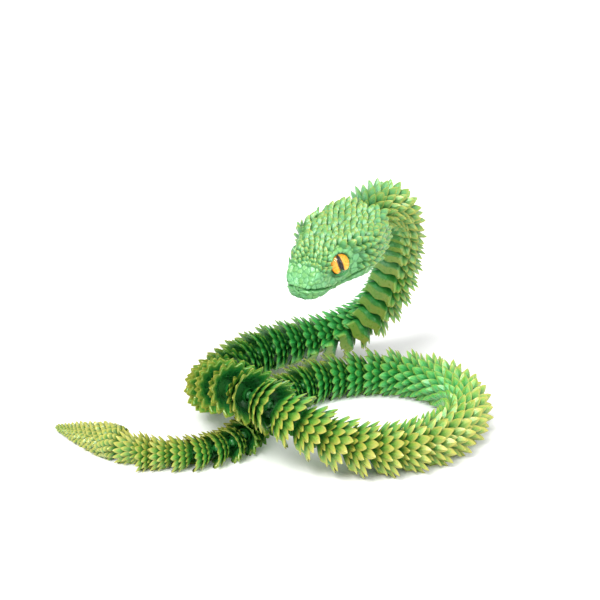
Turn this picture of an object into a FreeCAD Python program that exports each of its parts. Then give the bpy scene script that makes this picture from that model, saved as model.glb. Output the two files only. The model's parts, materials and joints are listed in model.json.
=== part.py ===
"""Articulated display snake: a head with two glass eyes, a chain of ball-jointed scale rings and a tail tip.

Millimetres, +Z up, origin on the surface the snake rests on, at the middle of its bounding box.
The chain runs from the head, over the reared neck, round a flat coil that passes over its own tail.
"""
import FreeCAD, Part
import math
import os

V = FreeCAD.Vector

# --- driving dimensions -------------------------------------------------------------------------
BELLY_DROP = 0.78         # height of a ring's axis above its flat belly, in ring radii
FRONT_RADIUS = 0.36       # radius of a ring's closed front disc, in ring radii
MID_RADIUS = 0.63         # radius half way along the trumpet-shaped skirt, in ring radii
MID_STATION = 0.58        # where that is, along the skirt
VALLEY_STATION = 0.80     # how far the notches between the rim's points reach
VALLEY_RADIUS = 0.88      # radius at those notches, in ring radii
BELLY_START = 0.50        # the flat belly band starts here along the skirt
BELLY_END = 0.70          # and ends here
BELLY_HALF_ANGLE = 48.0   # half of the ring's turn that belongs to the flat belly, degrees
BELLY_WIDTH = 0.95        # of the ring radius, where the belly's points are set out across it
BELLY_POINTS = (0.5, 0.0, -0.5)        # where they are, in shares of the belly's half angle
RIM_POINTS = 12           # points round the rim, over the back and the flanks
WALL = 1.1                # skirt wall
DISC = 1.2                # thickness of the closed front disc
SKIRT_OVER_PITCH = 2.0    # a skirt is this much longer than the distance to the next joint

BALL_RADIUS = 2.0
BALL_GAP = 0.25           # running gap between ball and socket
SOCKET_WALL = 1.05
SOCKET_LIP = 1.3          # the socket reaches this far past the ball's middle
STALK_RADIUS = 0.9
DISC_SETBACK = 3.6        # from the middle of a ring's ball to its front disc
STEM_RADIUS = 2.2

SINGLE_RINGS = 49         # rings that are a node each; the rest, in the slender tail, share in pairs
TAIL_TIP_END = V(-100.2, -18.9, 2.0)
TAIL_TIP_RADIUS = 0.9     # at its very end
TAIL_TIP_FLARE = 6.0      # from its front disc out to its widest
TAIL_TIP_WIDTH = 0.92     # of the ring radius there

HEAD_NOSE = (-0.55, -0.785, -0.285)      # the way the nose points
# head sections: distance in front of the neck joint, half width, top and bottom heights
HEAD_SECTIONS = [
    (-2.0, 12.4, 9.6, -9.4),
    (6.0, 16.0, 9.8, -10.4),
    (15.0, 18.6, 10.6, -10.8),
    (24.0, 17.8, 11.6, -10.4),
    (33.0, 13.0, 12.0, -9.4),
    (41.0, 10.4, 10.2, -8.2),
    (48.0, 8.8, 6.8, -7.0),
    (52.5, 5.8, 2.6, -5.0),
]
# outline of a head section, in shares of its half width and of its top or bottom height
HEAD_OUTLINE_TOP = [(0.0, 0.95), (0.5, 0.97), (0.9, 0.90), (1.0, 0.26)]
HEAD_OUTLINE_BOTTOM = [(0.98, 0.45), (0.84, 0.86), (0.42, 1.0)]
NECK_BOWL_DEPTH = 7.0     # hollow in the back of the head that the first ring swings in
NECK_BOWL_RADII = (4.6, 8.0)

EYE_RADIUS = 4.7          # glass half-dome
EYE_EDGE = 1.2            # its straight edge, below the dome
EYE_DOME = 3.0            # height of the dome over that edge
EYE_GAP = 0.1             # round the glass in its seat
EYE_CENTRE = (34.6, 10.9, 4.2)         # middle of the left eye's flat back: forward, left, up
EYE_LOOKS = (0.34, 0.90, 0.28)         # the way the left eye faces: forward, left, up

# --- the spine: x, y, lift of the belly above the table, ring radius, joint pitch, way the back faces
SPINE = [
    (40.2, 29.9, 74.4, 12.3, 6.9, (-0.1, -0.1, 1.0)),
    (44.4, 35.5, 77.2, 12.3, 6.9, (0.0, 0.0, 1.0)),
    (49.2, 41.9, 77.4, 12.3, 6.9, (0.1, 0.1, 1.0)),
    (53.7, 47.9, 74.6, 12.4, 6.9, (0.35, 0.5, 0.8)),
    (57.4, 52.9, 68.8, 12.5, 6.9, (0.55, 0.75, 0.4)),
    (59.6, 55.8, 61.2, 12.6, 7.0, (0.6, 0.75, 0.2)),
    (60.3, 56.9, 53.2, 12.8, 7.4, (0.65, 0.75, 0.05)),
    (59.8, 57.4, 44.0, 13.0, 7.8, (0.65, 0.75, 0.0)),
    (58.0, 57.6, 35.0, 13.0, 8.0, (0.65, 0.75, 0.1)),
    (54.6, 57.6, 26.0, 13.0, 8.2, (0.5, 0.85, 0.2)),
    (48.8, 57.3, 17.0, 13.0, 8.4, (0.35, 0.9, 0.35)),
    (38.3, 56.1, 9.5, 13.0, 8.6, (0.2, 0.85, 0.5)),
    (25.3, 53.6, 5.2, 13.0, 9.0, (0.1, 0.72, 0.7)),
    (10.8, 48.6, 3.6, 13.2, 9.4, (0.0, 0.5, 0.86)),
    (-3.2, 41.1, 2.9, 13.4, 9.6, (0.0, 0.25, 0.97)),
    (-15.2, 30.1, 1.8, 13.6, 9.8, (0.0, 0.08, 1.0)),
    (-23.7, 15.6, 1.6, 13.8, 10.0, (0.0, 0.0, 1.0)),
    (-27.7, -0.9, 4.4, 13.8, 10.2, (0.0, 0.0, 1.0)),
    (-27.0, -16.4, 10.6, 13.8, 10.4, (0.0, 0.0, 1.0)),
    (-21.6, -29.9, 17.2, 13.8, 10.8, (0.0, 0.0, 1.0)),
    (-12.9, -40.9, 20.4, 13.7, 11.0, (0.0, 0.0, 1.0)),
    (-1.9, -48.7, 18.9, 13.6, 11.0, (0.0, 0.0, 1.0)),
    (10.8, -53.5, 13.2, 13.5, 11.2, (0.0, 0.0, 1.0)),
    (24.3, -56.3, 6.6, 13.4, 11.2, (0.0, 0.0, 1.0)),
    (38.3, -56.9, 2.3, 13.3, 11.2, (0.0, 0.0, 1.0)),
    (51.8, -54.9, 0.6, 13.2, 11.0, (0.0, 0.0, 1.0)),
    (65.3, -49.4, 0.2, 13.1, 10.6, (0.0, 0.0, 1.0)),
    (77.3, -39.9, 0.0, 13.0, 10.2, (0.0, 0.0, 1.0)),
    (85.3, -26.4, 0.0, 12.9, 9.8, (0.0, 0.0, 1.0)),
    (87.8, -10.9, 0.0, 12.7, 9.6, (0.0, 0.0, 1.0)),
    (83.8, 3.6, 0.0, 12.6, 9.6, (0.0, 0.0, 1.0)),
    (74.3, 14.6, 0.0, 12.4, 9.6, (0.0, 0.0, 1.0)),
    (60.8, 21.1, 0.0, 12.2, 9.6, (0.0, 0.0, 1.0)),
    (45.8, 22.7, 0.0, 12.0, 9.6, (0.0, 0.0, 1.0)),
    (30.8, 20.1, 0.0, 11.6, 9.4, (0.0, 0.0, 1.0)),
    (16.8, 13.6, 0.0, 11.1, 9.2, (0.0, 0.0, 1.0)),
    (5.3, 3.6, 0.0, 10.4, 9.0, (0.0, 0.0, 1.0)),
    (-3.2, -8.9, 0.0, 9.8, 8.8, (0.0, 0.0, 1.0)),
    (-8.0, -22.9, 0.0, 9.3, 8.6, (0.0, 0.0, 1.0)),
    (-13.8, -36.4, 0.0, 9.0, 8.4, (0.0, 0.0, 1.0)),
    (-24.2, -45.9, 0.0, 8.8, 8.2, (0.0, 0.0, 1.0)),
    (-36.2, -50.9, 0.0, 8.4, 8.0, (0.0, 0.0, 1.0)),
    (-49.2, -50.9, 0.0, 7.9, 7.6, (0.0, 0.0, 1.0)),
    (-61.2, -47.4, 0.0, 7.4, 7.2, (0.0, 0.0, 1.0)),
    (-72.7, -40.9, 0.0, 7.0, 7.0, (0.0, 0.0, 1.0)),
]
SPINE_STEPS = 60          # points worked out along each span of the spine
FLAT_LIFT = 0.7           # a ring lifted less than this lies parallel to the table


# --- the spine as a smooth curve, walked joint by joint -----------------------------------------
def blend_rows(before, start, end, after, t):
    """A Catmull-Rom point between start and end, for every column of the row."""
    row = []
    for a, b, c, d in zip(before, start, end, after):
        linear = (c - a) * t
        square = (2 * a - 5 * b + 4 * c - d) * t ** 2
        cube = (3 * b - a - 3 * c + d) * t ** 3
        row.append(0.5 * (2 * b + linear + square + cube))
    return row


def spine_rows():
    """The spine's rows, close together: x, y, z of the axis, radius, pitch and the back's direction."""
    rows = [[x, y, lift, radius, pitch, *back] for x, y, lift, radius, pitch, back in SPINE]
    first = [2 * a - b for a, b in zip(rows[0], rows[1])]
    last = [2 * a - b for a, b in zip(rows[-1], rows[-2])]
    padded = [first, *rows, last]
    fine = []
    for i in range(1, len(padded) - 2):
        for step in range(SPINE_STEPS):
            fine.append(blend_rows(*padded[i - 1:i + 3], step / SPINE_STEPS))
    fine.append(rows[-1])
    for row in fine:
        lift, radius = row[2], row[3]
        row[2] = max(lift, 0.0) + BELLY_DROP * radius
    return fine


def walk_joints():
    """The joint centres: each is one pitch from the last, measured straight."""
    fine = spine_rows()
    joints = [fine[0]]
    for row in fine[1:]:
        last = joints[-1]
        if math.dist(row[:3], last[:3]) >= last[4]:
            joints.append(row)
    return joints


def frame_at(origin, along, back):
    """A placement with X along the chain towards the tail and Z out of the back."""
    x_axis = V(*along).normalize()
    z_axis = V(*back)
    z_axis = (z_axis - x_axis * z_axis.dot(x_axis)).normalize()
    y_axis = z_axis.cross(x_axis)
    matrix = FreeCAD.Matrix(
        x_axis.x, y_axis.x, z_axis.x, origin[0],
        x_axis.y, y_axis.y, z_axis.y, origin[1],
        x_axis.z, y_axis.z, z_axis.z, origin[2],
        0, 0, 0, 1,
    )
    return FreeCAD.Placement(matrix)


def ring_frames():
    """(placement, radius, next joint's place in the ring's own frame) for each ring, head to tail."""
    joints = walk_joints()
    frames = []
    for here, there in zip(joints, joints[1:]):
        along = [b - a for a, b in zip(here[:3], there[:3])]
        on_table = here[2] - BELLY_DROP * here[3] < FLAT_LIFT
        if on_table and there[2] - BELLY_DROP * there[3] < FLAT_LIFT:
            along[2] = 0.0
        place = frame_at(here[:3], along, here[5:8])
        socket = place.inverse().multVec(V(*there[:3]))
        frames.append((place, here[3], socket))
    return frames


# --- one ring ------------------------------------------------------------------------------------
def rim_angles():
    """The angles of the rim's points, from one belly edge over the back to the other, degrees."""
    first = -180.0 + BELLY_HALF_ANGLE
    step = (360.0 - 2 * BELLY_HALF_ANGLE) / (RIM_POINTS - 1)
    return [first + step * i for i in range(RIM_POINTS)], step


def skirt_loops(radius, length, inset):
    """Vertex loops of a skirt from front to rim. Each loop goes round once, belly last.

    inset is how far this surface lies inside the outer one."""
    angles, step = rim_angles()
    notches = [a + step / 2 for a in angles[:-1]]
    belly = [BELLY_HALF_ANGLE * share for share in BELLY_POINTS]
    drop = BELLY_DROP * radius - inset

    def around(radius_here, station, degrees):
        turn = math.radians(degrees)
        r = radius_here * radius - inset
        return V(station, r * math.sin(turn), r * math.cos(turn))

    def belly_point(degrees, station, height):
        width = math.sin(math.radians(degrees)) * (BELLY_WIDTH * radius - inset)
        return V(station, width, -height)

    start = DISC_SETBACK + (DISC if inset else 0.0)
    end = DISC_SETBACK + length
    mid = DISC_SETBACK + MID_STATION * length
    front_loop, mid_loop, rim_loop = [], [], []
    for i, angle in enumerate(angles):
        front_loop.append(around(FRONT_RADIUS, start, angle))
        mid_loop.append(around(MID_RADIUS, mid, angle))
        rim_loop.append(around(1.0, end, angle))
        if i < len(notches):
            notch = notches[i]
            station = DISC_SETBACK + VALLEY_STATION * length
            front_loop.append(around(FRONT_RADIUS, start, notch))
            mid_loop.append(around(MID_RADIUS, mid, notch))
            rim_loop.append(around(VALLEY_RADIUS, station, notch))
    for angle in belly:
        front_loop.append(around(FRONT_RADIUS, start, 180.0 - angle))
        mid_loop.append(belly_point(angle, DISC_SETBACK + BELLY_START * length, drop))
        rim_loop.append(belly_point(angle, DISC_SETBACK + BELLY_END * length, drop))
    return [front_loop, mid_loop, rim_loop]


def triangle(a, b, c):
    return Part.Face(Part.makePolygon([a, b, c, a]))


def band(near, far):
    """Triangles between two loops with the same count."""
    faces = []
    count = len(near)
    for i in range(count):
        j = (i + 1) % count
        faces.append(triangle(near[i], near[j], far[i]))
        faces.append(triangle(near[j], far[j], far[i]))
    return faces


def loop_cap(loop):
    return Part.Face(Part.makePolygon([*loop, loop[0]]))


def solid_of(faces):
    shell = Part.makeShell(faces)
    solid = Part.makeSolid(shell)
    if solid.Volume < 0:
        solid.reverse()
    return solid


def skirt(radius, length):
    """The open, pointed, thin-walled cup of one ring, closed by its front disc."""
    outer = skirt_loops(radius, length, 0.0)
    inner = skirt_loops(radius, length, WALL)
    faces = [loop_cap(outer[0]), loop_cap(inner[0])]
    for loops in (outer, inner):
        for near, far in zip(loops, loops[1:]):
            faces += band(near, far)
    faces += band(outer[-1], inner[-1])
    return solid_of(faces)


def ball_on_stalk():
    """The ball in front of a ring's disc, on the stalk that joins them."""
    ball = Part.makeSphere(BALL_RADIUS)
    ball.rotate(V(0, 0, 0), V(0, 0, 1), 180)  # turns the sphere's seam away from the stalk
    stalk = Part.makeCylinder(STALK_RADIUS, DISC_SETBACK + DISC / 2, V(0, 0, 0), V(1, 0, 0))
    return ball.fuse(stalk)


def socket_at(centre, stem_start):
    """The open-mouthed socket that holds the next ring's ball, and the stem that carries it."""
    outer = BALL_RADIUS + BALL_GAP + SOCKET_WALL
    cavity = Part.makeSphere(BALL_RADIUS + BALL_GAP, centre, V(1, 0, 0))
    mouth = Part.makeBox(outer, 2 * outer, 2 * outer, centre + V(SOCKET_LIP, -outer, -outer))
    housing = Part.makeSphere(outer, centre, V(1, 0, 0)).cut(cavity).cut(mouth)
    stem_end = centre.x - BALL_RADIUS - BALL_GAP - SOCKET_WALL / 2
    stem_length = stem_end - stem_start
    if stem_length <= 0:
        return housing
    stem = Part.makeCylinder(STEM_RADIUS, stem_length, V(stem_start, 0, 0), V(1, 0, 0))
    return housing.fuse(stem)


def ring(radius, socket_centre):
    """One ring in its own frame: ball in front, disc, skirt, and the socket inside the skirt."""
    length = socket_centre.x + SKIRT_OVER_PITCH
    body = skirt(radius, length).fuse(ball_on_stalk())
    return body.fuse(socket_at(socket_centre, DISC_SETBACK + DISC / 2))


# --- head and eyes -------------------------------------------------------------------------------
def head_section(forward, half_width, top, bottom):
    """A closed smooth outline across the head, a box with rounded corners."""
    left = [(side * half_width, share * top) for side, share in HEAD_OUTLINE_TOP]
    left += [(side * half_width, share * bottom) for side, share in HEAD_OUTLINE_BOTTOM]
    right = [(-side, height) for side, height in reversed(left[1:])]
    points = [V(-forward, side, height) for side, height in left + right]
    curve = Part.BSplineCurve()
    curve.interpolate(points, PeriodicFlag=True)
    return Part.Wire([curve.toShape()])


def eye_axis(side):
    """Middle and facing direction of an eye in the head's frame; side is 1 for left, -1 for right."""
    forward, left, up = EYE_CENTRE
    ahead, out, lift = EYE_LOOKS
    return V(-forward, side * -left, up), V(-ahead, side * -out, lift).normalize()


def eye_lens(side):
    """A flat-backed glass dome, seated on the floor of its recess."""
    middle, axis = eye_axis(side)
    dome_radius = (EYE_RADIUS ** 2 + EYE_DOME ** 2) / (2 * EYE_DOME)
    edge = Part.makeCylinder(EYE_RADIUS, EYE_EDGE + EYE_DOME, middle, axis)
    ball = Part.makeSphere(dome_radius, middle + axis * (EYE_EDGE + EYE_DOME - dome_radius))
    return edge.common(ball)


def eye_seat(side):
    middle, axis = eye_axis(side)
    return Part.makeCylinder(EYE_RADIUS + EYE_GAP, EYE_RADIUS * 2, middle, axis)


def head():
    """The head in its own frame: X towards the tail from the neck joint, Z up."""
    body = Part.makeLoft([head_section(*section) for section in HEAD_SECTIONS], True)
    opening = -HEAD_SECTIONS[0][0]
    bowl_floor = opening - NECK_BOWL_DEPTH
    bowl = Part.makeCone(*NECK_BOWL_RADII, NECK_BOWL_DEPTH, V(bowl_floor, 0, 0), V(1, 0, 0))
    body = body.cut(bowl)
    for side in (1, -1):
        body = body.cut(eye_seat(side))
    return body.fuse(socket_at(V(0, 0, 0), bowl_floor - DISC))


# --- tail tip ------------------------------------------------------------------------------------
def tail_tip(place, radius):
    """The slender cone that ends the tail, flat where it lies on the table."""
    end = place.inverse().multVec(TAIL_TIP_END)
    start = V(DISC_SETBACK, 0, 0)
    run = end - start
    flare = TAIL_TIP_FLARE
    shoulder = start + V(flare, 0, 0)
    taper = end - shoulder
    widest = TAIL_TIP_WIDTH * radius
    cone = Part.makeCone(FRONT_RADIUS * radius, widest, flare, start, V(1, 0, 0))
    cone = cone.fuse(Part.makeCone(widest, TAIL_TIP_RADIUS, taper.Length, shoulder, taper))
    cone = cone.fuse(Part.makeSphere(TAIL_TIP_RADIUS, end)).fuse(ball_on_stalk())
    reach = run.Length + radius
    below = Part.makeBox(2 * reach, 2 * reach, reach, V(-reach, -reach, -place.Base.z - reach))
    return cone.cut(below)


# --- export --------------------------------------------------------------------------------------
def save(name, shapes):
    if len(shapes) == 1:
        shape = shapes[0]
    else:
        shape = Part.makeCompound(shapes)
    shape.exportStep(os.path.join("parts", name + ".step"))
    print(name, "valid", shape.isValid(), "solids", len(shape.Solids), "volume", round(shape.Volume, 1))


def main():
    os.makedirs("parts", exist_ok=True)
    frames = ring_frames()
    neck_joint = frames[0][0].Base
    tailward = [-n for n in HEAD_NOSE]
    head_place = frame_at(neck_joint, tailward, (0.0, 0.0, 1.0))
    pieces = {"head": [head()], "left_eye": [eye_lens(1)], "right_eye": [eye_lens(-1)]}
    for name, shapes in pieces.items():
        for shape in shapes:
            shape.Placement = head_place.multiply(shape.Placement)
        save(name, shapes)
    rings = []
    for place, radius, socket in frames[:-1]:
        shape = ring(radius, socket)
        shape.Placement = place
        rings.append(shape)
    for index in range(SINGLE_RINGS):
        save(f"ring_{index + 1:02d}", [rings[index]])
    for pair, index in enumerate(range(SINGLE_RINGS, len(rings), 2)):
        save(f"tail_ring_pair_{pair + 1}", rings[index:index + 2])
    last_place, last_radius, _ = frames[-1]
    tip = tail_tip(last_place, last_radius)
    tip.Placement = last_place
    save("tail_tip", [tip])


main()
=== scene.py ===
"""Looks of the articulated snake: silk-plastic scale rings, a scaled head with glass eyes and a tail cone.

Lengths inside the mesh builders are millimetres; MM turns them into the frame's metres.
Each ring is built in its own frame: X towards the tail, Z out of the back, origin at its ball.
"""
import json
import math

import bpy
import numpy as np
from mathutils import Matrix, Vector


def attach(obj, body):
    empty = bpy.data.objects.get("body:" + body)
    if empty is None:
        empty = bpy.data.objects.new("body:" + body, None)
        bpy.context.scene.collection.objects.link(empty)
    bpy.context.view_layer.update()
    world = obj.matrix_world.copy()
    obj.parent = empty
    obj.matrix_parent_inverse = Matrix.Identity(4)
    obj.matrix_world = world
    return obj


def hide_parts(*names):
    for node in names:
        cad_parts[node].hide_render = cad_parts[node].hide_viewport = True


MM = 0.001
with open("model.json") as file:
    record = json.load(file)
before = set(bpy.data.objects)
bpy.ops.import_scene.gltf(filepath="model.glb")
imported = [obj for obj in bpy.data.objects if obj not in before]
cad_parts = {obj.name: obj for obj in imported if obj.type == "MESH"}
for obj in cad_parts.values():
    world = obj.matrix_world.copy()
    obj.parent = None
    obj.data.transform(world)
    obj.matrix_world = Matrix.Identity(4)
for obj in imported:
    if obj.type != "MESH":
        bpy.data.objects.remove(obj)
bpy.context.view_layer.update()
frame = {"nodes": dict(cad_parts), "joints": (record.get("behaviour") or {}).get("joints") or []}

# --- sizes, mm, and shares of a ring's radius -------------------------------------------------------
DISC_SETBACK = 3.6        # from a ring's ball to its front disc
SKIRT_OVER_PITCH = 2.0    # a skirt is this much longer than the distance to the next ball
BELLY_DROP = 0.78         # height of the ring's axis over its flat belly, in ring radii
NECK_RINGS = 8            # rings in the head's brighter colour
TABLE_CLEARANCE = 0.00002    # no point of the model is lower than this, metres
SCALE_STEP = 24.0         # turn from one scale of a row to the next, degrees
FULL_SIZE_RADIUS = 13.0   # ring radius at which its scales have their full ridge and thickness
RING_WALL = 0.9
SIDE_TINT = 0.30          # how much more gold one flank shows than the middle of the back
AROUND = 112              # points round a ring's cup
BALL_RADIUS = 2.0
SOCKET_RADIUS = 3.2
SOCKET_MOUTH = 1.4        # the socket ends this far behind the middle of its ball
STALK_RADIUS = 0.9
BALL_ROWS, BALL_ROUND = 11, 20
HEAD_NOSE = Vector((-0.55, -0.785, -0.285))    # which way the nose points, in the frame
HEAD_SECTIONS = [         # distance in front of the neck ball, half width, top and bottom heights
    (-2.0, 12.4, 9.0, -9.4),
    (6.0, 15.8, 9.3, -10.4),
    (15.0, 18.3, 10.1, -10.8),
    (24.0, 17.5, 11.1, -10.4),
    (33.0, 12.0, 11.6, -9.4),
    (41.0, 9.6, 10.0, -8.2),
    (48.0, 8.7, 6.6, -7.0),
    (52.0, 6.4, 3.2, -5.6),
    (53.6, 4.0, 1.0, -4.4),
    (54.1, 1.2, -1.0, -2.8),
]
EYE_CENTRE = (34.6, 10.9, 4.2)    # middle of an eye seat's floor: forward, sideways, up
EYE_LOOKS = (0.34, 0.90, 0.28)    # which way the eye looks, in the same order
EYE_RADIUS = 4.7
EYE_EDGE = 1.2            # height of the lens's straight edge
EYE_DOME = 3.0            # height of its dome over that edge
# how gold each link is, by its place in the chain
GOLD_ALONG = [(1, 0.06), (5, 0.06), (10, 0.05), (15, 0.06), (18, 0.12), (21, 0.15), (25, 0.16), (29, 0.34),
              (33, 0.62), (36, 0.54), (40, 0.32), (45, 0.22), (50, 0.20), (55, 0.38), (59, 0.85), (61, 1.10),
              (64, 1.20)]


# --- meshes ----------------------------------------------------------------------------------------
class Builder:
    """Collects vertices with their gold values, their painted shade values (on the iris the printed pupil's
    dark), and faces.
    """

    def __init__(self):
        self.points, self.gold, self.depth, self.faces, self.count = [], [], [], [], 0

    def add(self, points, faces, gold, depth):
        points = np.asarray(points, float).reshape(-1, 3)
        self.points.append(points)
        self.gold.append(np.broadcast_to(np.asarray(gold, float).ravel(), len(points)))
        self.depth.append(np.broadcast_to(np.asarray(depth, float).ravel(), len(points)))
        self.faces += [tuple(i + self.count for i in f) for f in faces]
        self.count += len(points)

    def build(self, name, place, material, smooth_angle=28.0):
        mesh = bpy.data.meshes.new(name)
        turn = np.array(place)
        points = np.concatenate(self.points) * MM @ turn[:3, :3].T + turn[:3, 3]
        points[:, 2] = np.maximum(points[:, 2], TABLE_CLEARANCE)
        mesh.from_pydata(points.tolist(), [], self.faces)
        for key, values in (("gold", self.gold), ("depth", self.depth)):
            layer = mesh.attributes.new(key, "FLOAT", "POINT")
            layer.data.foreach_set("value", np.concatenate(values).astype(np.float32))
        mesh.validate()
        mesh.shade_smooth()
        mesh.set_sharp_from_angle(angle=math.radians(smooth_angle))
        mesh.materials.append(material)
        piece = bpy.data.objects.new(name, mesh)
        bpy.context.scene.collection.objects.link(piece)
        return piece


def grid_faces(rows, columns, closed=True):
    """Quads of a rows x columns grid of points; closed means that the columns go round."""
    faces = []
    for i in range(rows - 1):
        for j in range(columns if closed else columns - 1):
            k = (j + 1) % columns
            faces.append((i * columns + j, i * columns + k, (i + 1) * columns + k, (i + 1) * columns + j))
    return faces


def ball_points(centre_x, radius):
    """Rows of points of a ball on the X axis, from its front to its rear."""
    heights = np.linspace(-1, 1, BALL_ROWS)
    turns = np.linspace(0, 2 * math.pi, BALL_ROUND, endpoint=False)
    points = []
    for h in heights:
        r = radius * math.sqrt(max(1 - h * h, 0.0004))
        points += [[centre_x + radius * h, r * math.cos(a), r * math.sin(a)] for a in turns]
    return points


def smoothstep(low, high, value):
    """0 below low, 1 above high, smooth between; the other way round where low is above high."""
    t = np.clip((value - low) / (high - low), 0.0, 1.0)
    return t * t * (3 - 2 * t)


# one scale: its outline, ridge and thickness along its length, shared by every scale
LEAF_T = np.array([0.0, 0.18, 0.38, 0.56, 0.72, 0.86, 0.95, 1.0])
LEAF_WIDTH = np.array([0.90, 0.98, 1.0, 0.96, 0.82, 0.52, 0.24, 0.04])
LEAF_RIDGE = np.array([0.10, 0.55, 0.85, 1.0, 0.95, 0.70, 0.40, 0.15])
LEAF_U = np.array([-1.0, -0.5, 0.0, 0.5, 1.0, 0.5, 0.0, -0.5])
LEAF_TOP = np.array([0.0, 0.42, 1.0, 0.42, 0.0, 0.0, 0.0, 0.0])
LEAF_UNDER = np.array([0.0, 0.0, 0.0, 0.0, 0.0, 1.0, 1.0, 1.0])


def leaf_faces():
    rows, columns = len(LEAF_T), len(LEAF_U)
    faces = grid_faces(rows, columns)
    faces.append(tuple(reversed(range(columns))))
    faces.append(tuple(range((rows - 1) * columns, rows * columns)))
    return faces


LEAF_FACES = leaf_faces()


def leaf(place_point, ridge, thickness):
    """Points of a scale; place_point(t, u, height) gives where a point of it goes."""
    rows = []
    for t, width, rise in zip(LEAF_T, LEAF_WIDTH, LEAF_RIDGE):
        height = LEAF_TOP * rise * ridge - LEAF_UNDER * thickness * (1 - 0.75 * t)
        rows.append(place_point(t, LEAF_U * width, height))
    return np.concatenate(rows)


def leaf_gold():
    """How much more gold a scale's points are: towards its tip and its edges."""
    t = np.repeat(LEAF_T, len(LEAF_U))
    u = np.tile(np.abs(LEAF_U) * (LEAF_UNDER < 0.5), len(LEAF_T))
    return 0.72 * t ** 4 + 0.42 * u ** 4


def leaf_depth():
    """Painted shade of a scale's points: darker at its root and underneath, where it is recessed."""
    t = np.repeat(LEAF_T, len(LEAF_U))
    under = np.tile(LEAF_UNDER, len(LEAF_T))
    return np.clip(0.95 * smoothstep(0.88, 0.20, t) + 0.35 * under * (1 - t), 0, 1)


def trumpet(share):
    """A skirt's radius along its length, both as shares."""
    return 0.36 + 0.2246 * share + 0.4154 * share ** 2


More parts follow.
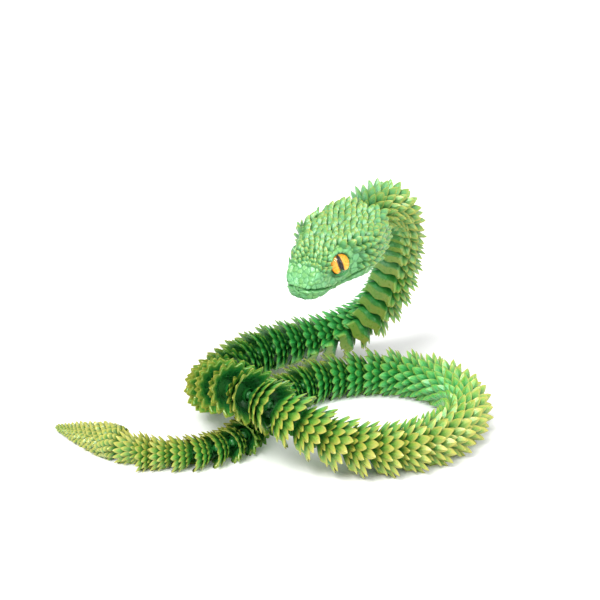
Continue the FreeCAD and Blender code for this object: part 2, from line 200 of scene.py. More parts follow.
def ring_mesh(radius, pitch, gold, random, belly_end, belly_half, bristle):
    """One ring: thin cup with a scalloped rim, a flat belly band, and collars of keeled scales."""
    made = Builder()
    length = pitch + SKIRT_OVER_PITCH
    rear_scales = round((360 - 2 * belly_half) / SCALE_STEP) + 1
    step = (360 - 2 * belly_half) / (rear_scales - 1)
    first = -180 + belly_half
    angle = np.linspace(-180, 180, AROUND, endpoint=False)
    turn = np.radians(angle)
    below = 180 - np.abs(angle)                      # degrees away from straight down
    belly = 1 - smoothstep(belly_half - 14, belly_half + 4, below)
    scallop = 0.5 + 0.5 * np.cos(np.radians((angle - first) * 360 / step))
    wave = 0.07 * np.cos(np.radians(below * 360 / 54))
    end = (0.80 + 0.14 * scallop) * (1 - belly) + (belly_end + wave) * belly
    tint = SIDE_TINT * -np.sin(turn)                 # one side of the print shows more gold

    def surface(share, inset):
        """Points round the cup at a share of its own length, and that far inside it."""
        station = share * end
        free = trumpet(station) * radius - 0.25
        early = trumpet(np.clip(station * 2.1, 0, 1)) * radius
        flat = BELLY_DROP * radius / np.maximum(np.cos(np.radians(np.minimum(below, 60))), 0.5)
        held = np.minimum(early, flat)
        r = free * (1 - belly) + held * belly - inset
        return np.stack([DISC_SETBACK + station * length, r * np.sin(turn), r * np.cos(turn)], 1)

    shares = np.array([0.0, 0.12, 0.25, 0.38, 0.52, 0.62, 0.70, 0.78, 0.86, 0.93, 1.0])
    outer = np.concatenate([surface(s, 0.0) for s in shares])
    inner = np.concatenate([surface(s, RING_WALL if s < 1 else 0.75 * RING_WALL) for s in shares[::-1]])
    inner[:, 0] = np.maximum(inner[:, 0], DISC_SETBACK + 1.2)
    rows = 2 * len(shares)
    share_all = np.repeat(np.concatenate([shares, shares[::-1]]), AROUND)
    is_outer = np.repeat(np.arange(rows) < len(shares), AROUND)
    belly_all = np.tile(belly, rows)
    tint_all = np.tile(tint, rows)
    band = smoothstep(0.50, 0.56, share_all) * belly_all * is_outer
    rim = smoothstep(0.86, 1.0, share_all)
    cup_gold = gold * (0.35 + 0.65 * rim) + tint_all * 0.6 + 0.40 * rim * (1 - belly_all) + 0.66 * band
    # painted shade: the cup darker under its scale rows, in front of the belly band and on its inside,
    # lighter at the rim
    cup_depth = np.where(is_outer, 0.85 - 0.75 * belly_all - 0.45 * rim, 0.62 - 0.40 * rim)
    cup_depth = np.where(is_outer & (belly_all > 0.5), 0.45 * smoothstep(0.56, 0.50, share_all), cup_depth)
    made.add(np.concatenate([outer, inner]), grid_faces(rows, AROUND), cup_gold, np.clip(cup_depth, 0, 1))
    for start, flip in ((0, True), ((rows - 1) * AROUND, False)):
        loop = list(range(start, start + AROUND))
        made.faces.append(tuple(reversed(loop)) if flip else tuple(loop))

    def scale_row(angles, root, tip, reach, ridge, width_share):
        """A collar of scales from share root to share tip of the length; reach is their tips' radius."""
        start = trumpet(root) - 0.02
        for centre in angles:
            wobble = random.uniform(-0.03, 0.03)
            side_tint = SIDE_TINT * -math.sin(math.radians(centre))

            def place_point(t, across, height):
                share = root + (tip - root) * t * (1 + wobble)
                phi = np.radians(centre + across * step * width_share)
                rise = (reach * bristle - start) * (0.50 * t + 0.50 * t ** 2)
                r = np.minimum((start + rise) * radius + height, radius * bristle + 0.1)
                x = np.full(len(across), DISC_SETBACK + share * length) - 0.35 * height
                z = np.maximum(r * np.cos(phi), -BELLY_DROP * radius + 0.02)
                return np.stack([x, r * np.sin(phi), z], 1)

            made.add(leaf(place_point, ridge * size, 0.75 * size), LEAF_FACES,
                     0.75 * gold + side_tint + leaf_gold() - 0.10, leaf_depth())

    size = radius / FULL_SIZE_RADIUS
    rear = [first - 0.35 * step] + [first + step * i for i in range(rear_scales)]
    rear.append(-rear[0])
    fore = [first + step * (i + 0.5) for i in range(rear_scales - 1)]
    scale_row(rear, 0.40, 1.0, 1.0, 0.95, 0.57)
    scale_row(fore, 0.18, 0.66, 0.93, 0.95, 0.57)
    scale_row(rear[1:-1], 0.02, 0.34, 0.74, 0.8, 0.55)
    # ball, stalk and the socket for the next ball, painted in shade
    made.add(ball_points(0.0, BALL_RADIUS), grid_faces(BALL_ROWS, BALL_ROUND), 0.1, 0.8)
    socket = [p for p in ball_points(pitch, SOCKET_RADIUS) if p[0] <= pitch + SOCKET_MOUTH]
    made.add(socket, grid_faces(len(socket) // BALL_ROUND, BALL_ROUND), 0.1, 0.8)
    tube = [[x, STALK_RADIUS * math.cos(a), STALK_RADIUS * math.sin(a)] for x in (1.5, DISC_SETBACK + 0.6)
            for a in np.linspace(0, 2 * math.pi, 16, endpoint=False)]
    made.add(tube, grid_faces(2, 16), 0.1, 0.8)
    return made


# --- materials ---------------------------------------------------------------------------------------
class Nodes:
    """A material's node tree, with short calls for its nodes and links."""

    def __init__(self, name):
        self.material = bpy.data.materials.new(name)
        self.material.use_nodes = True
        self.tree = self.material.node_tree
        self.shader = next(n for n in self.tree.nodes if n.type == "BSDF_PRINCIPLED")
        self.output = next(n for n in self.tree.nodes if n.type == "OUTPUT_MATERIAL")

    def new(self, kind, **settings):
        node = self.tree.nodes.new(kind)
        for key, value in settings.items():
            setattr(node, key, value)
        return node

    def link(self, out, into):
        self.tree.links.new(out, into)

    def math(self, operation, a, b):
        node = self.new("ShaderNodeMath", operation=operation)
        for socket, value in zip(node.inputs, (a, b)):
            if isinstance(value, (int, float)):
                socket.default_value = value
            else:
                self.link(value, socket)
        return node.outputs[0]

    def mix(self, factor, a, b):
        node = self.new("ShaderNodeMix", data_type="RGBA")
        self.link(factor, node.inputs["Factor"])
        for socket, value in ((node.inputs[6], a), (node.inputs[7], b)):
            if isinstance(value, tuple):
                socket.default_value = (*value, 1.0)
            else:
                self.link(value, socket)
        return node.outputs[2]


def silk(name, layer_pitch=0.00032, layer_strength=0.30, minty=0.0):
    """Two-colour silk filament: green to gold by the mesh's gold value, with painted shade darkening its
    recesses and painted glints on top.
    """
    n = Nodes(name)
    coords = n.new("ShaderNodeTexCoord").outputs["Object"]
    gold = n.new("ShaderNodeAttribute", attribute_name="gold").outputs["Fac"]
    depth = n.new("ShaderNodeAttribute", attribute_name="depth").outputs["Fac"]
    blotch = n.new("ShaderNodeTexNoise")
    blotch.inputs["Scale"].default_value = 420.0
    blotch.inputs["Detail"].default_value = 3.0
    n.link(coords, blotch.inputs["Vector"])
    uneven = n.math("MULTIPLY", n.math("SUBTRACT", blotch.outputs["Fac"], 0.5), 0.55)
    ramp = n.new("ShaderNodeValToRGB")
    n.link(n.math("ADD", gold, uneven), ramp.inputs["Fac"])
    stops = [(0.0, (0.050 + 0.12 * minty, 0.46 + 0.06 * minty, 0.090 + 0.13 * minty)),
             (0.35, (0.120 + 0.04 * minty, 0.44, 0.055 + 0.05 * minty)),
             (0.65, (0.25, 0.44 - 0.02 * minty, 0.050 + 0.02 * minty)),
             (1.0, (0.47, 0.46, 0.070))]
    ramp.color_ramp.elements[0].position, ramp.color_ramp.elements[0].color = stops[0][0], (*stops[0][1], 1)
    ramp.color_ramp.elements[1].position, ramp.color_ramp.elements[1].color = stops[3][0], (*stops[3][1], 1)
    for position, colour in stops[1:3]:
        ramp.color_ramp.elements.new(position).color = (*colour, 1)
    # painted shade: the colour is mixed towards dark green where the mesh marks a recess
    colour_with_painted_shade = n.mix(depth, ramp.outputs["Color"], (0.008, 0.150, 0.022))
    # painted highlights: small pale glints mixed into the colour, stronger on the head and fainter in the
    # painted shade
    painted_glint_spots = n.new("ShaderNodeTexVoronoi", feature="F1")
    painted_glint_spots.inputs["Scale"].default_value = 1500.0
    n.link(coords, painted_glint_spots.inputs["Vector"])
    glint = n.new("ShaderNodeMapRange")
    glint.inputs["From Min"].default_value = 0.24
    glint.inputs["From Max"].default_value = 0.02
    n.link(painted_glint_spots.outputs["Distance"], glint.inputs["Value"])
    glint_lost_in_painted_shade = n.math("MULTIPLY", depth, 0.45)
    painted_glint_amount = n.math("MULTIPLY", glint.outputs["Result"], n.math("SUBTRACT", 0.45 + 0.2 * minty, glint_lost_in_painted_shade))
    n.link(n.mix(painted_glint_amount, colour_with_painted_shade, (0.66, 0.84, 0.50)), n.shader.inputs["Base Color"])
    rough = n.new("ShaderNodeMapRange")
    rough.inputs["To Min"].default_value = 0.16
    rough.inputs["To Max"].default_value = 0.44
    n.link(blotch.outputs["Fac"], rough.inputs["Value"])
    n.link(rough.outputs["Result"], n.shader.inputs["Roughness"])
    n.shader.inputs["Metallic"].default_value = 0.12
    n.shader.inputs["Specular IOR Level"].default_value = 0.62
    n.shader.inputs["Coat Weight"].default_value = 0.30
    n.shader.inputs["Coat Roughness"].default_value = 0.20
    split = n.new("ShaderNodeSeparateXYZ")
    n.link(coords, split.inputs[0])
    lines = n.math("SINE", n.math("MULTIPLY", split.outputs["Z"], 2 * math.pi / layer_pitch), 0.0)
    ripple = n.math("ADD", n.math("MULTIPLY", lines, 0.6), n.math("MULTIPLY", blotch.outputs["Fac"], 1.6))
    bump = n.new("ShaderNodeBump")
    bump.inputs["Strength"].default_value = layer_strength
    bump.inputs["Distance"].default_value = 0.00012
    n.link(ripple, bump.inputs["Height"])
    n.link(bump.outputs["Normal"], n.shader.inputs["Normal"])
    return n.material


def iris_material():
    """Amber iris with a dark slit: the disc's gold value sets the amber, its second value the printed dark of
    the slit and the rim.
    """
    n = Nodes("iris_print")
    gold = n.new("ShaderNodeAttribute", attribute_name="gold").outputs["Fac"]
    depth = n.new("ShaderNodeAttribute", attribute_name="depth").outputs["Fac"]
    coords = n.new("ShaderNodeTexCoord").outputs["Object"]
    fleck = n.new("ShaderNodeTexNoise")
    fleck.inputs["Scale"].default_value = 1900.0
    fleck.inputs["Detail"].default_value = 4.0
    n.link(coords, fleck.inputs["Vector"])
    amount = n.math("ADD", gold, n.math("MULTIPLY", n.math("SUBTRACT", fleck.outputs["Fac"], 0.5), 1.1))
    amber = n.mix(amount, (0.55, 0.10, 0.004), (1.0, 0.50, 0.030))
    n.link(n.mix(depth, amber, (0.006, 0.004, 0.003)), n.shader.inputs["Base Color"])
    n.shader.inputs["Roughness"].default_value = 0.35
    n.shader.inputs["Specular IOR Level"].default_value = 0.05
    return n.material


def glass_material():
    """Clear glass that lets the lamps' light through to the printed iris."""
    n = Nodes("eye_glass_clear")
    n.shader.inputs["Base Color"].default_value = (1.0, 1.0, 1.0, 1.0)
    n.shader.inputs["Transmission Weight"].default_value = 1.0
    n.shader.inputs["IOR"].default_value = 1.36
    n.shader.inputs["Specular IOR Level"].default_value = 0.25
    wear = n.new("ShaderNodeTexNoise")
    wear.inputs["Scale"].default_value = 300.0
    n.link(n.new("ShaderNodeTexCoord").outputs["Object"], wear.inputs["Vector"])
    rough = n.new("ShaderNodeMapRange")
    rough.inputs["To Min"].default_value = 0.0
    rough.inputs["To Max"].default_value = 0.04
    n.link(wear.outputs["Fac"], rough.inputs["Value"])
    n.link(rough.outputs["Result"], n.shader.inputs["Roughness"])
    clear = n.new("ShaderNodeBsdfTransparent")
    ray = n.new("ShaderNodeLightPath")
    mix = n.new("ShaderNodeMixShader")
    n.link(ray.outputs["Is Shadow Ray"], mix.inputs[0])
    n.link(n.shader.outputs[0], mix.inputs[1])
    n.link(clear.outputs[0], mix.inputs[2])
    n.link(mix.outputs[0], n.output.inputs["Surface"])
    return n.material


# --- the chain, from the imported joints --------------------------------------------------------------
def chain_links():
    """Node names of the chain from neck to tail, each with its joint's place and axis."""
    joints = {j["name"].rsplit("_", 1)[0]: j for j in frame["joints"]}
    order = sorted((n for n in joints if n.startswith("ring_")))
    order += sorted(n for n in joints if n.startswith("tail_ring_pair_"))
    order.append("tail_tip")
    return [(n, Vector(joints[n]["pos_m"]), Vector(joints[n]["axis"]), joints[n]["name"].endswith("_nod"))
            for n in order]


def node_points(name):
    """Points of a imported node, metres."""
    mesh = frame["nodes"][name].data
    points = np.empty(len(mesh.vertices) * 3, np.float32)
    mesh.vertices.foreach_get("co", points)
    return points.reshape(-1, 3).astype(float)


def placed(origin, along, back):
    """Matrix of a frame with X along the chain and Z out of the back."""
    x = along.normalized()
    z = (back - x * back.dot(x)).normalized()
    y = z.cross(x)
    return Matrix(((x.x, y.x, z.x, origin.x), (x.y, y.y, z.y, origin.y),
                   (x.z, y.z, z.z, origin.z), (0, 0, 0, 1)))


def local_points(name, place):
    """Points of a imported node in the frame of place, mm."""
    inverse = np.array(place.inverted())
    points = node_points(name)
    return (points @ inverse[:3, :3].T + inverse[:3, 3]) / MM


links = chain_links()
tip_points = node_points("tail_tip")
tip_far = Vector(tip_points[np.argmax(np.linalg.norm(tip_points - np.array(links[-1][1]), axis=1))])
places = [p for _, p, _, _ in links] + [tip_far]


def backs_of():
    """Which way the back faces at each link, found from the tail up to the neck."""
    back, side, backs = Vector((0, 0, 1)), None, {}
    for i in range(len(links) - 1, -1, -1):
        name, place, axis, nods = links[i]
        along = (places[i + 1] - place).normalized()
        if nods:
            side = back.cross(along)
            axis = axis if axis.dot(side) > 0 else -axis
            back = along.cross(axis).normalized()
        else:
            back = axis if axis.dot(back) > 0 else -axis
        backs[name] = back.copy()
    return backs


backs = backs_of()

silk_plastic = silk("silk_plastic_body")
silk_head = silk("silk_plastic_head", minty=1.0)
gold_at = dict(zip(("index", "gold"), map(np.array, zip(*GOLD_ALONG))))
rng = np.random.RandomState(7)


def build_rings():
    """A detailed ring for each ring of the CAD, riding on its body."""
    number = 0
    for i, (name, place, _, _) in enumerate(links[:-1]):
        ahead = places[i + 1]
        if name.startswith("tail_ring_pair"):
            before, after = places[i - 1], places[min(i + 2, len(places) - 1)]
            # on a smooth curve through all four
            middle = (place + ahead) * 0.5625 - (before + after) * 0.0625
            steps = [(place, middle), (middle, ahead)]
        else:
            steps = [(place, ahead)]
        for part, (start, end) in enumerate(steps):
            number += 1
            matrix = placed(start, end - start, backs[name])
            pitch = (end - start).length / MM
            near = local_points(name, matrix)
            rim = np.abs(near[:, 0] - (pitch + DISC_SETBACK + SKIRT_OVER_PITCH)) < 1.0
            radius = float(np.hypot(near[rim, 1], near[rim, 2]).max())
            gold = float(np.interp(number, gold_at["index"], gold_at["gold"]))
            label = f"scales_{name}" if len(steps) == 1 else f"scales_{name}_{'ab'[part]}"
            belly_end = float(np.interp(number, [12, 20], [0.92, 0.66]))
            belly_half = float(np.interp(number, [12, 18], [48.0, 34.0]))
            bristle = float(np.interp(number, [3, 7], [1.13, 1.0]))
            made = ring_mesh(radius, pitch, gold, rng, belly_end, belly_half, bristle)
            piece = made.build(label, matrix, silk_head if number <= NECK_RINGS else silk_plastic)
            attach(piece, name)
            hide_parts(name)


build_rings()


# --- head ---------------------------------------------------------------------------------------------
HEAD_BACK, SNOUT, NOSE_TIP = -2.0, 44, 54.08    # where the head's skin starts, gets finer and ends
HEAD_ROWS, SNOUT_ROWS, HEAD_ROUND = 110, 40, 300
PLATE_TRIES = 2600        # places tried for the plates of the head's skin
IRIS_HEIGHT = 0.8         # of the printed iris over the floor of the eye's seat
SLIT_HALF_HEIGHT = 4.3    # of the dark slit in the iris
IRIS_RINGS, IRIS_ROUND, GLASS_ROUND = 40, 160, 64
EYE_KEEP_OUT = 7.3        # no pointed scale stands nearer than this to an eye's axis
# the head's outline, once round: share of the half width, share of the height, and 1 where it is below
OUTLINE = np.array([(0.0, 0.95, 0), (0.5, 0.97, 0), (0.9, 0.90, 0), (1.0, 0.26, 0), (0.98, 0.45, 1),
                    (0.84, 0.86, 1), (0.42, 1.0, 1), (-0.42, 1.0, 1), (-0.84, 0.86, 1), (-0.98, 0.45, 1),
                    (-1.0, 0.26, 0), (-0.9, 0.90, 0), (-0.5, 0.97, 0)])


def smooth_through(values, positions, wanted):
    """Smooth interpolation through rows of values at positions."""
    slopes = np.gradient(values, positions, axis=0)
    k = np.clip(np.searchsorted(positions, wanted) - 1, 0, len(positions) - 2)
    span = (positions[k + 1] - positions[k])[:, None]
    t = ((wanted - positions[k]) / span[:, 0])[:, None]
    a, b = values[k], values[k + 1]
    return ((2 * t ** 3 - 3 * t ** 2 + 1) * a + (t ** 3 - 2 * t ** 2 + t) * span * slopes[k]
            + (3 * t ** 2 - 2 * t ** 3) * b + (t ** 3 - t ** 2) * span * slopes[k + 1])


def head_surface(forward, share):
    """Points of the smooth head, in its own frame, at distances forward and shares of a turn."""
    table = np.array(HEAD_SECTIONS)
    half, top, bottom = smooth_through(table[:, 1:], table[:, 0], forward).T
    loop = np.vstack([OUTLINE[-3:], OUTLINE, OUTLINE[:4]])
    spots = np.arange(-3, len(OUTLINE) + 4, dtype=float)
    shape = smooth_through(loop[:, :2] * np.stack([np.ones(len(loop)), np.where(loop[:, 2] > 0, -1, 1)], 1),
                    spots, share * len(OUTLINE))
    high = np.where(shape[:, 1] >= 0, shape[:, 1] * top, -shape[:, 1] * bottom)
    return np.stack([-forward, -shape[:, 0] * half, high], 1)


def head_normals(forward, share):
    """Unit normals of the smooth head, pointing outwards."""
    d = 0.01
    along = head_surface(forward + d, share) - head_surface(forward - d, share)
    round_ = head_surface(forward, (share + 0.001) % 1) - head_surface(forward, (share - 0.001) % 1)
    normal = np.cross(along, round_)
    normal /= np.linalg.norm(normal, axis=1)[:, None] + 1e-12
    centre = np.stack([-forward, np.zeros_like(forward), np.zeros_like(forward)], 1)
    outward = np.einsum("ij,ij->i", normal, head_surface(forward, share) - centre)
    return normal * np.where(outward < 0, -1, 1)[:, None]


def eye_frames():
    """(side, middle, axis) of each eye in the head's frame."""
    found = []
    for side in (1, -1):
        axis = np.array([-EYE_LOOKS[0], -side * EYE_LOOKS[1], EYE_LOOKS[2]])
        middle = np.array([-EYE_CENTRE[0], -side * EYE_CENTRE[1], EYE_CENTRE[2]])
        found.append((side, middle, axis / np.linalg.norm(axis)))
    return found


def cells(points, spread, random):
    """Irregular plates: how far inside its plate each point is (0 to 1), the plate's tint and its tilt."""
    picked = points[random.choice(len(points), PLATE_TRIES, replace=False)]
    kept = []
    for p in picked:
        if all((p[0] - q[0]) ** 2 + (p[1] - q[1]) ** 2 + (p[2] - q[2]) ** 2 > spread ** 2 for q in kept):
            kept.append(p)
    nearest = np.full(len(points), 1e9)
    second = np.full(len(points), 1e9)
    tint, tilt = np.zeros(len(points)), np.zeros(len(points))
    for q in kept:
        away = points - q
        d = np.linalg.norm(away, axis=1)
        closer = d < nearest
        second = np.where(closer, nearest, np.minimum(second, d))
        nearest = np.where(closer, d, nearest)
        tint[closer] = random.uniform(-1, 1)
        tilt[closer] = away[closer] @ random.uniform(-1, 1, 3)
    return smoothstep(0.0, 0.8, second - nearest), tint, tilt


def mouth_height(forward):
    """Height of the mouth's line along the head."""
    return np.interp(forward, [14, 20, 27, 34, 40, 45, 49, 52, 54],
                     [-0.8, -2.3, -4.8, -6.5, -5.8, -3.1, -1.2, 0.2, 0.8])


def head_mesh(random):
    """The head's plated skin, with the mouth's slit, the eye seats and the hollow at its back."""
    made = Builder()
    rows = np.concatenate([np.linspace(HEAD_BACK, SNOUT, HEAD_ROWS, endpoint=False),
                           np.linspace(SNOUT, NOSE_TIP, SNOUT_ROWS)])
    share = np.linspace(0, 1, HEAD_ROUND, endpoint=False)
    f, s = np.repeat(rows, HEAD_ROUND), np.tile(share, len(rows))
    points, normals = head_surface(f, s), head_normals(f, s)
    inside, tint, tilt = cells(points, 2.1, random)
    top_side = smoothstep(0.35, 0.75, normals[:, 2])
    tile = 0.36 * smoothstep(4, 10, f)
    points += normals * ((inside - 0.6 + 0.55 * tilt) * tile)[:, None]
    gold = 0.10 + 0.30 * top_side * smoothstep(50, 30, f) + 0.10 * inside + 0.14 * tint
    # painted shade in the creases between the plates
    depth = 0.40 * (1 - inside)
    # the mouth's slit, down both sides and round the snout
    off = np.abs(points[:, 2] - mouth_height(f))
    slit = np.exp(-(off / 0.50) ** 2) * smoothstep(15, 19, f) * (s < 0.999)
    points -= normals * (1.6 * slit)[:, None]
    lip = np.exp(-((points[:, 2] - mouth_height(f) + 1.0) / 0.6) ** 2) * smoothstep(18, 24, f)
    points += normals * (0.25 * lip)[:, None]
    # painted shade in the mouth's slit
    depth = np.maximum(depth, slit)
    # eye seats: a flat floor under each lens and a raised brow round it
    for _, middle, axis in eye_frames():
        away = points - middle
        high = away @ axis
        sideways = np.linalg.norm(away - high[:, None] * axis, axis=1)
        near = (sideways < 7.6) & (high > -7)
        sunk = near & (sideways < EYE_RADIUS + 0.35) & (high > -0.3)
        points[sunk] -= axis * (high[sunk] + 0.3)[:, None]
        brow = near & ~sunk
        lid_top = EYE_EDGE - 0.35 - 2.2 * np.clip(sideways - 5.6, 0, None)
        swell = 0.45 * np.exp(-((sideways - 5.9) / 0.8) ** 2) + np.clip(lid_top - high, 0, None)
        points[brow] += axis * swell[brow][:, None]
        lid = np.linalg.norm(away - high[:, None] * axis - np.array([-0.9, 0.0, -0.5]), axis=1)
        # painted shade on the seat's floor under the lens and the brow
        depth = np.where(near, np.maximum(depth, smoothstep(6.1, 5.3, lid)), depth)
    made.add(points, grid_faces(len(rows), HEAD_ROUND), gold, depth)
    made.faces.append(tuple(range(len(rows) * HEAD_ROUND - HEAD_ROUND, len(rows) * HEAD_ROUND)))
    # the hollow that the first ring swings in, painted in shade
    back = head_surface(np.full(HEAD_ROUND, HEAD_BACK), share)
    loops = [back]
    for x, shrink in ((2.0, 0.80), (0.0, 0.66), (-4.5, 0.42)):
        loops.append(np.stack([np.full(HEAD_ROUND, x), back[:, 1] * shrink, back[:, 2] * shrink], 1))
    made.add(np.concatenate(loops), grid_faces(len(loops), HEAD_ROUND), 0.1, 0.9)
    made.faces.append(tuple(range(made.count - HEAD_ROUND, made.count)))
    return made


def head_scales(random):
    """Pointed keeled scales over the head's top and back, bigger towards the brow and the neck."""
    made = Builder()
    row = 0
    forward = 0.4
    while forward < 47:
        big = float(np.interp(forward, [0, 10, 22, 33, 42, 48], [1.0, 1.0, 0.95, 0.95, 0.70, 0.5]))
        width = 3.1 * big
        share = np.linspace(0, 1, 400, endpoint=False)
        loop = head_surface(np.full(400, forward), share)
        upto = float(np.interp(forward, [0, 14, 26, 32, 40, 48], [-7.0, -5.5, -3.0, 0.5, 4.0, 3.5]))
        arc = np.concatenate([[0], np.cumsum(np.linalg.norm(np.diff(loop, axis=0), axis=1))])
        total = arc[-1]
        count = int(total / width)
        for k in range(count):
            at = (k + 0.5 * (row % 2) + random.uniform(-0.15, 0.15)) % count * total / count
            s = float(np.interp(at, arc, share))
            spot = forward + random.uniform(-0.5, 0.5)
            point = head_surface(np.array([spot]), np.array([s]))[0]
            if point[2] < upto + random.uniform(-0.4, 0.4):
                continue
            if any(np.linalg.norm((point - m) - ((point - m) @ a) * a) < EYE_KEEP_OUT and (point - m) @ a > -7
                   for _, m, a in eye_frames()):
                continue
            normal = head_normals(np.array([spot]), np.array([s]))[0]
            tail = np.array([1.0, 0.0, 0.0]) - normal[0] * normal
            tail /= np.linalg.norm(tail)
            rise = np.radians(25 + 10 * big + random.uniform(-9, 9))
            tip = tail * math.cos(rise) + normal * math.sin(rise)
            up = normal * math.cos(rise) - tail * math.sin(rise)
            across = np.cross(up, tip)
            turn = math.radians(random.uniform(-16, 16))
            tip, across = (tip * math.cos(turn) + across * math.sin(turn),
                           across * math.cos(turn) - tip * math.sin(turn))
            length = 4.9 * big * random.uniform(0.85, 1.15)

            def place_point(t, u, height):
                return (point - 0.25 * normal + tip * (t * length) + across * (u[:, None] * width * 0.56)
                        + up * height[:, None])

            made.add(leaf(place_point, 0.62 * big, 0.40 * big), LEAF_FACES,
                     0.10 + 1.05 * leaf_gold() + random.uniform(-0.12, 0.12), 0.8 * leaf_depth())
        forward += 2.6 * big
        row += 1
    return made


head_place = placed(links[0][1], -HEAD_NOSE, Vector((0, 0, 1)))
random_head = np.random.RandomState(3)
head_piece = head_mesh(random_head).build("head_skin", head_place, silk_head, 60.0)
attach(head_piece, "head")
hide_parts("head")
crest = head_scales(random_head).build("head_pointed_scales", head_place, silk_head)
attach(crest, "head")


def eye_pieces():
    """A clear dome over a printed iris for each eye."""
    iris, glass = iris_material(), glass_material()
    dome_radius = (EYE_RADIUS ** 2 + EYE_DOME ** 2) / (2 * EYE_DOME)
    for side, middle, axis in eye_frames():
        name = "left_eye" if side > 0 else "right_eye"
        up = np.array([0.0, 0.0, 1.0])
        up -= axis * (up @ axis)
        up /= np.linalg.norm(up)
        across = np.cross(up, axis)
        basis = np.stack([across, up, axis])
        made = Builder()
        glass_back = IRIS_HEIGHT + 0.05
        profile = [(glass_back, 0.02), (glass_back, EYE_RADIUS * 0.5), (glass_back, EYE_RADIUS),
                   (EYE_EDGE, EYE_RADIUS)]
        for t in np.linspace(0, 1, 14)[1:]:
            r = EYE_RADIUS * math.cos(t * math.pi / 2) + 0.02
            profile.append((EYE_EDGE + EYE_DOME - dome_radius + math.sqrt(dome_radius ** 2 - r ** 2), r))
        turns = np.linspace(0, 2 * math.pi, GLASS_ROUND, endpoint=False)
        points = [[r * math.cos(a), r * math.sin(a), h] for h, r in profile for a in turns]
        made.add(np.array(points) @ basis + middle, grid_faces(len(profile), GLASS_ROUND), 0.0, 0.0)
        made.faces.append(tuple(reversed(range(GLASS_ROUND))))
        made.faces.append(tuple(range((len(profile) - 1) * GLASS_ROUND, len(profile) * GLASS_ROUND)))
        dome = made.build(f"{name}_glass", head_place, glass, 50.0)
        disc = Builder()
        radii = np.linspace(0.02, EYE_RADIUS - 0.05, IRIS_RINGS)
        around = np.linspace(0, 2 * math.pi, IRIS_ROUND, endpoint=False)
        r, a = np.repeat(radii, IRIS_ROUND), np.tile(around, IRIS_RINGS)
        x, y = r * np.cos(a), r * np.sin(a)
        streak = 0.5 + 0.22 * np.sin(a * 23 + 2 * np.sin(a * 5)) + 0.18 * np.sin(a * 41 + r)
        slit_width = 0.20 * np.sqrt(np.clip(1 - (y / SLIT_HALF_HEIGHT) ** 2, 0, 1))
        slit = smoothstep(0.12, -0.05, np.abs(x) / EYE_RADIUS - slit_width)
        edge = smoothstep(0.80, 1.0, r / EYE_RADIUS)
        glow = np.clip(streak + 0.25 - 0.6 * edge, 0, 1)
        flat = np.stack([x, y, np.full_like(x, IRIS_HEIGHT)], 1)
        dark = np.maximum(slit * (np.abs(y) < SLIT_HALF_HEIGHT), 0.75 * edge ** 3)
        disc.add(flat @ basis + middle, grid_faces(IRIS_RINGS, IRIS_ROUND), glow, dark)
        disc.faces.append(tuple(range(IRIS_ROUND)))
        printed = disc.build(f"{name}_iris", head_place, iris)
        for piece in (dome, printed):
            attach(piece, "head")
        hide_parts(name)


eye_pieces()


# --- tail tip -------------------------------------------------------------------------------------------
SHOULDER_LENGTH = 6.0     # of the short cone between the tip's disc and its widest place
TAIL_ROUND = 48
TAIL_SCALE = 3.9          # length of a full-size scale of the tip


def tail_mesh(place, random):
    """The tail's cone under overlapping fine scales, with the ball that joins it to the last ring."""
    made = Builder()
    near = local_points("tail_tip", place)
    length = near[:, 0].max()
    widest = np.abs(near[:, 0] - DISC_SETBACK - SHOULDER_LENGTH) < 0.6
    wide = float(np.hypot(near[:, 1], near[:, 2])[widest].max())
    floor = near[:, 2].min()
    shoulder = DISC_SETBACK + SHOULDER_LENGTH

    def cone_radius(x):
        return np.where(x < shoulder, wide * (0.4 + 0.6 * (x - DISC_SETBACK) / SHOULDER_LENGTH),
                        wide + (0.9 - wide) * (x - shoulder) / (length - shoulder))

    xs = np.concatenate([[DISC_SETBACK], np.linspace(shoulder, length, 30)])
    turns = np.linspace(0, 2 * math.pi, TAIL_ROUND, endpoint=False)
    body = []
    for x in xs:
        r = cone_radius(x) - 0.5 * min(1.0, cone_radius(x) / 4)
        body += [[x, r * math.sin(a), max(r * math.cos(a) + sag(x, shoulder, length, near), floor + 0.02)]
                 for a in turns]
    # the cone under the scales is painted in shade
    made.add(body, grid_faces(len(xs), TAIL_ROUND), 0.45, 0.6)
    made.faces.append(tuple(reversed(range(TAIL_ROUND))))
    made.faces.append(tuple(range((len(xs) - 1) * TAIL_ROUND, len(xs) * TAIL_ROUND)))
    x, row = DISC_SETBACK + 1.5, 0
    while x < length - 1.6:
        r = float(cone_radius(x))
        count = max(6, int(round(2 * math.pi * r / max(1.7, 0.22 * r + 1.15))))
        size = float(np.interp(r, [0.9, 7.0], [0.55, 1.0]))
        for k in range(count):
            phi = 2 * math.pi * (k + 0.5 * (row % 2)) / count
            if math.cos(phi) < -0.72:
                continue
            centre_z = sag(x, shoulder, length, near)
            lift = 2.5 * size * random.uniform(0.6, 1.3) * min(1.0, r / 4)

            def place_point(t, u, height):
                reach = x + t * TAIL_SCALE * size
                base = float(cone_radius(min(reach, length))) - 0.55 * size + height + lift * t
                base = np.clip(base, 0.3, 1.08 * wide)
                angle = phi + u * math.pi / count
                z = np.maximum(base * np.cos(angle) + centre_z, floor + 0.02)
                return np.stack([np.full(len(u), min(reach, length)), base * np.sin(angle), z], 1)

            tint = 0.15 * -math.sin(phi)
            gold = float(np.interp(x, [4, 16, length], [1.10, 1.25, 1.10]))
            made.add(leaf(place_point, size, 0.5 * size), LEAF_FACES,
                     gold + tint + leaf_gold() * 0.8 - 0.3, leaf_depth())
        x += 1.8 * size
        row += 1
    # the ball that joins the last ring is painted in shade
    made.add(ball_points(0.0, BALL_RADIUS), grid_faces(BALL_ROWS, BALL_ROUND), 0.1, 0.8)
    return made


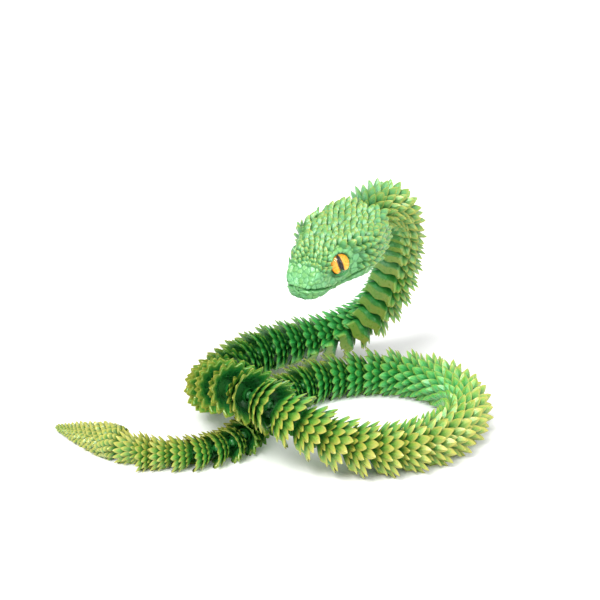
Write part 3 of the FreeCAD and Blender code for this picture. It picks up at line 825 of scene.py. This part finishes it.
def sag(x, shoulder, length, near):
    """How far the cone's middle drops towards its end, which lies on the table."""
    end = near[near[:, 0] > length - 1.0]
    return float(np.interp(x, [shoulder, length], [0.0, (end[:, 2].max() + end[:, 2].min()) / 2]))


tip_place = links[-1][1]
tip_along = tip_far - tip_place
tip_along.z = 0.0
tip_matrix = placed(tip_place, tip_along, Vector((0, 0, 1)))
tip_piece = tail_mesh(tip_matrix, rng).build("tail_tip_scales", tip_matrix, silk_plastic)
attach(tip_piece, "tail_tip")
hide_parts("tail_tip")


# --- floor, light and camera ----------------------------------------------------------------------------
AMBIENT = 0.72            # strength of the light from all sides; the camera itself sees plain white
LAMPS = [                 # name, where it shines from, softness in degrees, strength
    ("key", (-0.5, -0.7, 1.3), 30, 3.0),
    ("fill", (0.9, -0.6, 1.0), 50, 1.0),
]
LENS, SENSOR = 102.24, 36.0
LOOKS_AT = Vector((0.0118, 0.0161, 0.051))
CAMERA_ABOVE = 24.0       # degrees over the horizon
CAMERA_AWAY = 0.8


def floor_and_light():
    """A pale floor, soft white surroundings and two broad lamps."""
    scene = bpy.context.scene
    bpy.ops.mesh.primitive_plane_add(size=6.0, location=(0, 0, 0))
    floor = bpy.context.object
    floor.name = "floor"
    n = Nodes("pale_floor")
    n.shader.inputs["Base Color"].default_value = (0.94, 0.94, 0.935, 1)
    n.shader.inputs["Roughness"].default_value = 0.9
    n.shader.inputs["Specular IOR Level"].default_value = 0.1
    floor.data.materials.append(n.material)
    world = bpy.data.worlds.new("studio")
    world.use_nodes = True
    tree = world.node_tree
    soft = tree.nodes["Background"]
    soft.inputs["Color"].default_value = (1.0, 1.0, 1.0, 1)
    soft.inputs["Strength"].default_value = AMBIENT
    seen = tree.nodes.new("ShaderNodeBackground")
    seen.inputs["Color"].default_value = (1.0, 1.0, 1.0, 1)
    seen.inputs["Strength"].default_value = 1.0
    ray = tree.nodes.new("ShaderNodeLightPath")
    mix = tree.nodes.new("ShaderNodeMixShader")
    tree.links.new(ray.outputs["Is Camera Ray"], mix.inputs[0])
    tree.links.new(soft.outputs[0], mix.inputs[1])
    tree.links.new(seen.outputs[0], mix.inputs[2])
    tree.links.new(mix.outputs[0], tree.nodes["World Output"].inputs["Surface"])
    scene.world = world
    for name, place, spread, strength in LAMPS:
        lamp = bpy.data.lights.new(name, "SUN")
        lamp.angle = math.radians(spread)
        lamp.energy = strength
        holder = bpy.data.objects.new(name, lamp)
        scene.collection.objects.link(holder)
        holder.location = place
        holder.rotation_euler = (-Vector(place)).to_track_quat("-Z", "Y").to_euler()


def camera():
    """The main camera, in front of the snake and looking slightly down."""
    data = bpy.data.cameras.new("camera")
    data.lens = LENS
    data.sensor_width = SENSOR
    holder = bpy.data.objects.new("camera", data)
    bpy.context.scene.collection.objects.link(holder)
    tilt = math.radians(CAMERA_ABOVE)
    back = Vector((0, -math.cos(tilt), math.sin(tilt)))
    holder.location = LOOKS_AT + back * CAMERA_AWAY
    holder.rotation_euler = (-back).to_track_quat("-Z", "Y").to_euler()
    data.clip_start, data.clip_end = 0.01, 20
    bpy.context.scene.camera = holder


floor_and_light()
camera()
bpy.context.scene.view_settings.view_transform = "Standard"
